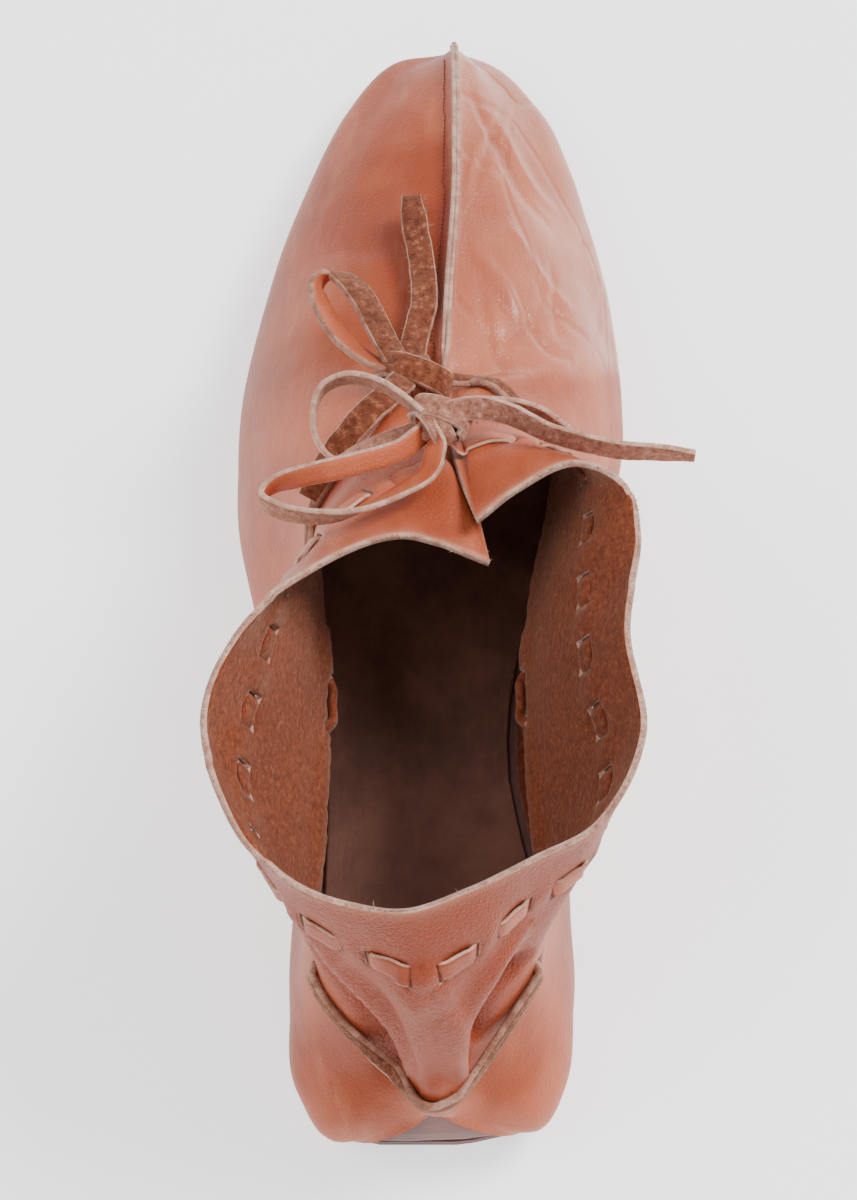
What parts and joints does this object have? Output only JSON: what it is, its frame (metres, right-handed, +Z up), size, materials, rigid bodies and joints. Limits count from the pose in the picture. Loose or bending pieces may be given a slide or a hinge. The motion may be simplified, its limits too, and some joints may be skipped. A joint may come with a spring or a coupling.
{
  "type": "turnshoe",
  "caption": "Soft leather ankle turnshoe for the left foot with a raised vamp seam, flared collar with overlapping flaps, and flat thongs tied in bows at collar and ankle.",
  "frame": {"origin": "on the floor under the middle of the heel seat, at the sole's underside", "axes": "+Y from heel to toe, +X towards the inner side of the left foot, +Z up"},
  "size_m": [0.1114, 0.2944, 0.1108],
  "materials": {
    "upper_leather": "satin",
    "sole_leather": "satin",
    "insole_leather": "matte",
    "suede_thong": "matte"
  },
  "bodies": {
    "root": {"upper": "upper_leather", "sole": "sole_leather", "insole": "insole_leather", "collar_thong": "upper_leather", "collar_bow_knot": "upper_leather", "collar_bow_loop_large": "upper_leather", "collar_bow_loop_small": "upper_leather", "collar_bow_end_long": "upper_leather", "collar_bow_end_short": "upper_leather", "ankle_thong": "suede_thong", "ankle_bow_knot": "suede_thong", "ankle_bow_loop_up": "suede_thong", "ankle_bow_end_up": "suede_thong", "ankle_bow_loop_down": "suede_thong"}
  },
  "joints": []
}
